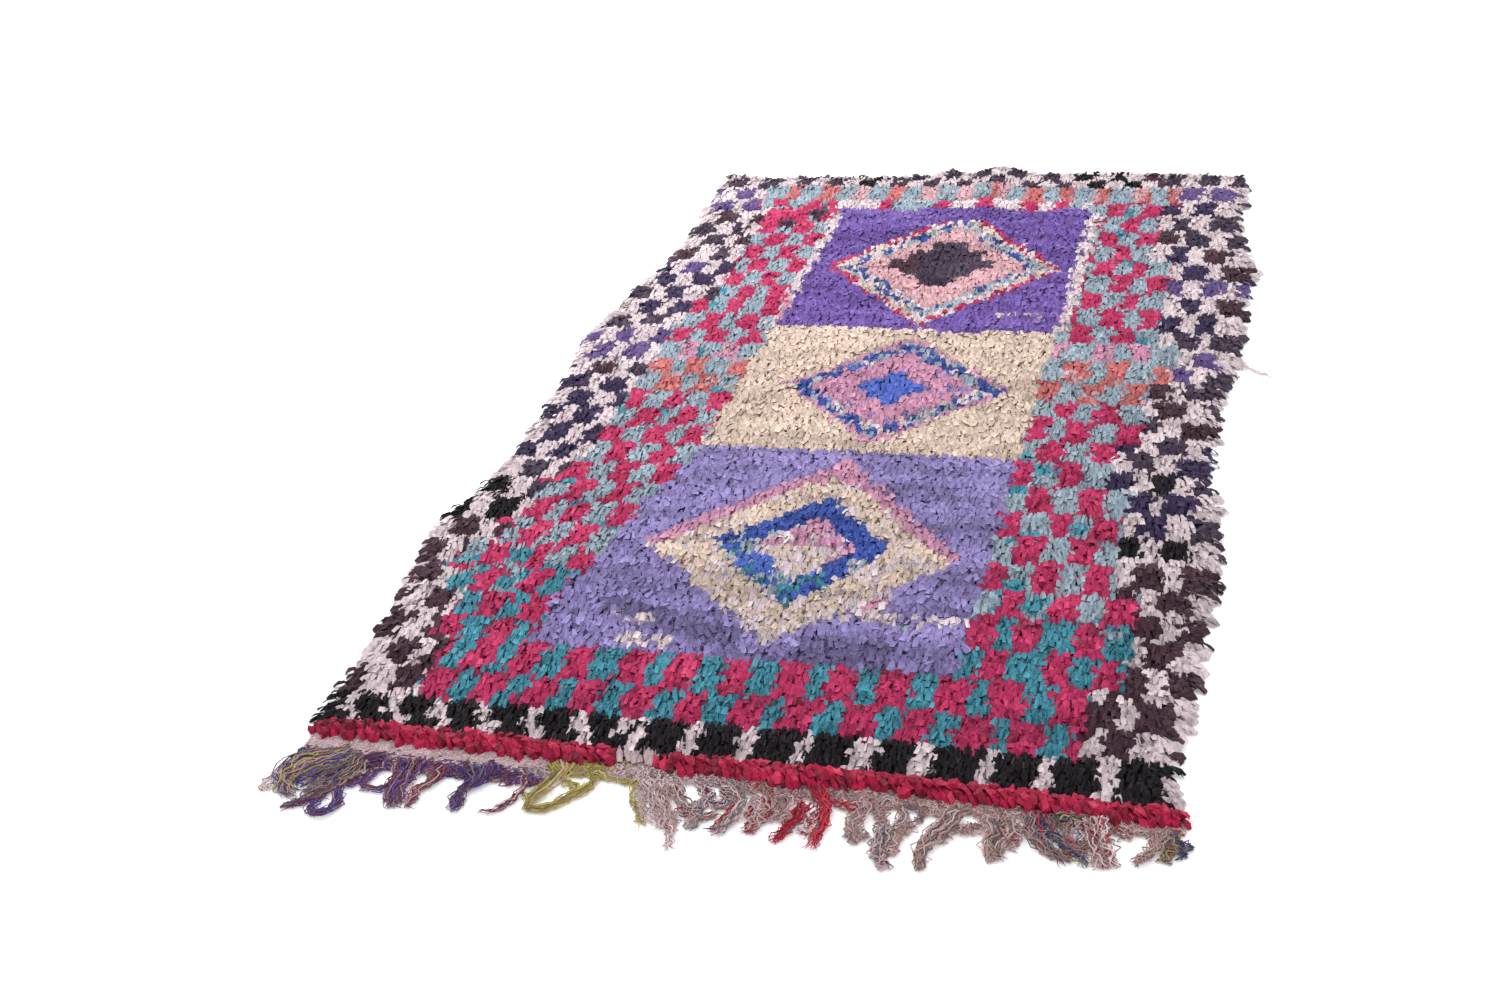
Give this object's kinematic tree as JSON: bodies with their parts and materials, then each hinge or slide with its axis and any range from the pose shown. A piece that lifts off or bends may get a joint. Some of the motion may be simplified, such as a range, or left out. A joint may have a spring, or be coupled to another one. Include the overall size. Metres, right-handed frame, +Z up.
{
  "type": "boucherouite rug",
  "caption": "Flat rectangular hand-knotted rag-pile rug with a woven ground, two low twined rag courses across one end, a short bunched yarn fringe and a loose yarn tuft on one selvedge.",
  "frame": {"origin": "underside of the woven ground, on the floor under the middle of the rug's length and width", "axes": "+Y along the rug's length, away from the fringed end; +X across its width, to the right seen from the fringed end; +Z up, out of the pile"},
  "size_m": [1.4287, 2.5302, 0.0379],
  "materials": {
    "ground_cotton": "matt woven cotton and wool",
    "rag_pile": "crinkled torn rag strips in many colours",
    "red_rag": "twisted rag with a slight sheen",
    "warp_yarn": "knotted yarn ends in mixed colours",
    "pale_yarn": "loose soft yarn"
  },
  "bodies": {
    "root": {"ground_weave": "ground_cotton", "rag_pile": "rag_pile", "red_course_left": "red_rag", "red_course_right": "red_rag", "warp_fringe": "warp_yarn", "selvedge_yarn": "pale_yarn"}
  },
  "joints": []
}
